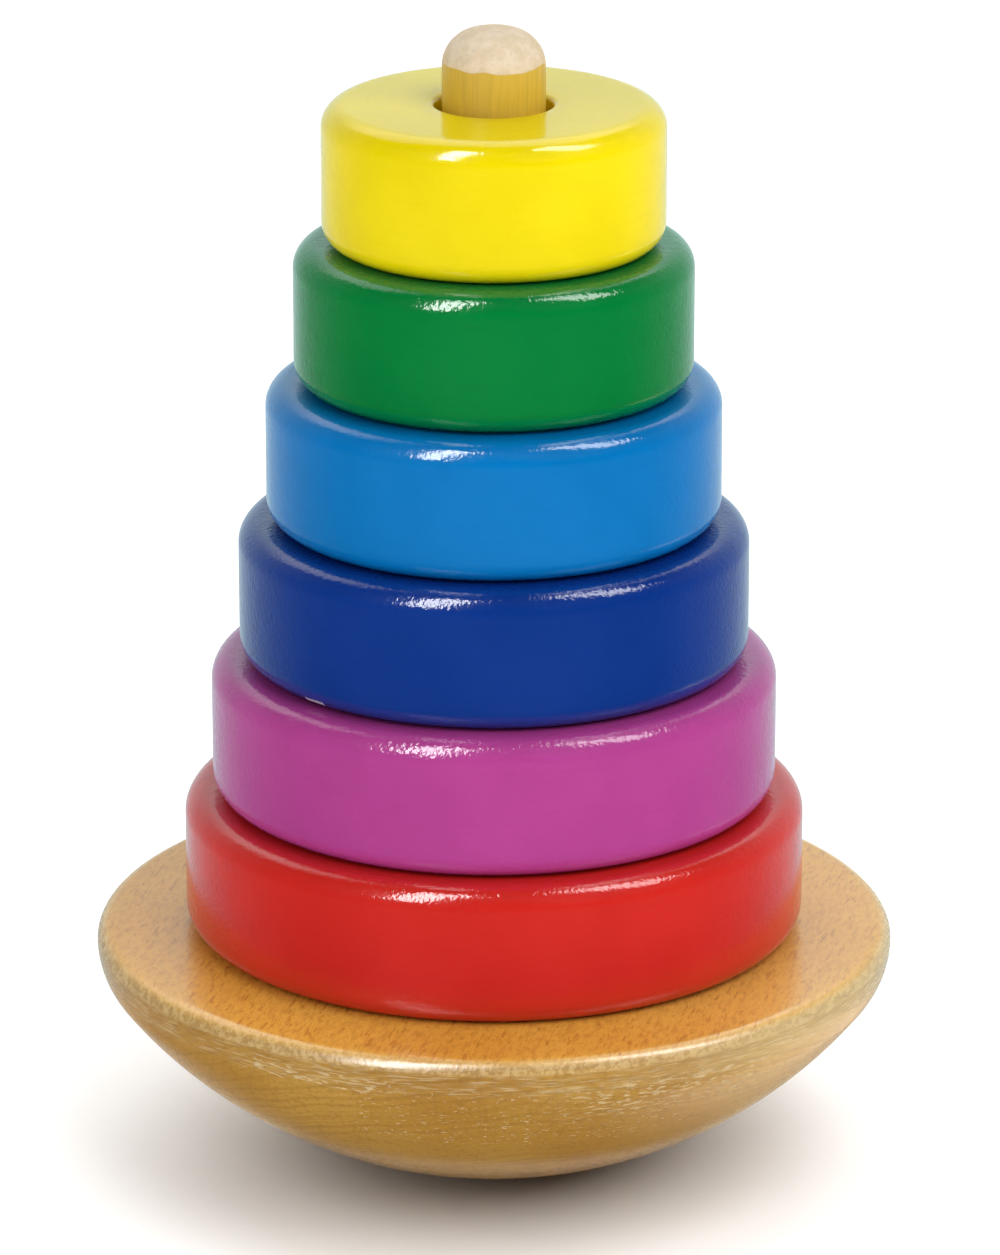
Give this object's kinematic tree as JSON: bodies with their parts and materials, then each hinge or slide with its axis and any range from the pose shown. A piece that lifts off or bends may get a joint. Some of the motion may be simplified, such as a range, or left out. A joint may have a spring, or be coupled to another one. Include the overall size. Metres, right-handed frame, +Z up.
{
  "type": "ring stacking tower",
  "caption": "Wobbling ring tower: lacquered wooden rings of falling diameter on a beech peg that stands in a round-bottomed rocking base.",
  "frame": {"origin": "centre of the flat foot under the base, where the tower stands", "axes": "+Z up along the peg, the axis that every piece is turned about; X and Y are alike"},
  "size_m": [0.142, 0.142, 0.206],
  "materials": {
    "beech_base": "satin clear varnish on beech",
    "beech_peg": "smooth sanded beech dowel",
    "lacquer_red": "gloss lacquer",
    "lacquer_purple": "gloss lacquer",
    "lacquer_dark_blue": "gloss lacquer",
    "lacquer_light_blue": "gloss lacquer",
    "lacquer_green": "gloss lacquer",
    "lacquer_yellow": "gloss lacquer"
  },
  "bodies": {
    "stand": {"base": "beech_base", "peg": "beech_peg"},
    "red_ring": {"ring_red": "lacquer_red"},
    "purple_ring": {"ring_purple": "lacquer_purple"},
    "dark_blue_ring": {"ring_dark_blue": "lacquer_dark_blue"},
    "light_blue_ring": {"ring_light_blue": "lacquer_light_blue"},
    "green_ring": {"ring_green": "lacquer_green"},
    "yellow_ring": {"ring_yellow": "lacquer_yellow"}
  },
  "joints": [
    {"name": "red_ring_lift", "type": "slide", "parent": "stand", "child": "red_ring", "axis": [0, 0, 1], "range_m": [0, 0.165]},
    {"name": "purple_ring_lift", "type": "slide", "parent": "red_ring", "child": "purple_ring", "axis": [0, 0, 1], "range_m": [0, 0.14]},
    {"name": "dark_blue_ring_lift", "type": "slide", "parent": "purple_ring", "child": "dark_blue_ring", "axis": [0, 0, 1], "range_m": [0, 0.115]},
    {"name": "light_blue_ring_lift", "type": "slide", "parent": "dark_blue_ring", "child": "light_blue_ring", "axis": [0, 0, 1], "range_m": [0, 0.09]},
    {"name": "green_ring_lift", "type": "slide", "parent": "light_blue_ring", "child": "green_ring", "axis": [0, 0, 1], "range_m": [0, 0.065]},
    {"name": "yellow_ring_lift", "type": "slide", "parent": "green_ring", "child": "yellow_ring", "axis": [0, 0, 1], "range_m": [0, 0.04]}
  ]
}
